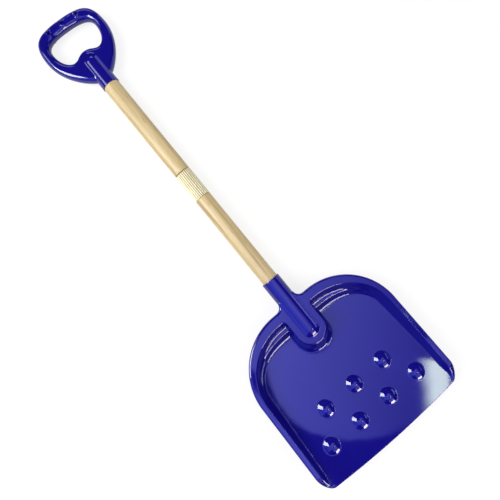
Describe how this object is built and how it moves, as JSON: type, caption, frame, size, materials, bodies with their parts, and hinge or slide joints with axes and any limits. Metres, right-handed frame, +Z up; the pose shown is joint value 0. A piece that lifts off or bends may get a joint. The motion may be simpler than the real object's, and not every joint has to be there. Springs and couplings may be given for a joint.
{
  "type": "kids snow shovel",
  "caption": "Child's snow shovel: broad moulded plastic scoop with dimpled floor, slim wooden shaft in halves joined by a ribbed coupling, and a moulded D grip.",
  "frame": {"origin": "centre of the shovel's box on the surface that it lies on", "axes": "+Y up the shaft from the scoop to the grip, +Z up, on the side that carries the snow, +X across the scoop"},
  "size_m": [0.2548, 0.7646, 0.0383],
  "materials": {
    "blue_plastic": "glossy injection-moulded royal blue",
    "turned_wood": "pale turned hardwood dowel, clear lacquer",
    "cream_plastic": "satin cream moulded plastic with lengthwise ribs",
    "screw_steel": "zinc-plated countersunk screw"
  },
  "bodies": {
    "lower_half": {"scoop_blade": "blue_plastic", "lower_shaft": "turned_wood", "coupling_sleeve": "cream_plastic", "blade_screw": "screw_steel"},
    "upper_half": {"upper_shaft": "turned_wood", "d_grip": "blue_plastic", "grip_screw": "screw_steel"}
  },
  "joints": [
    {"name": "shaft_take_apart", "type": "slide", "parent": "lower_half", "child": "upper_half", "axis": [0, 0.9997, -0.0228], "range_m": [0, 0.03]}
  ]
}
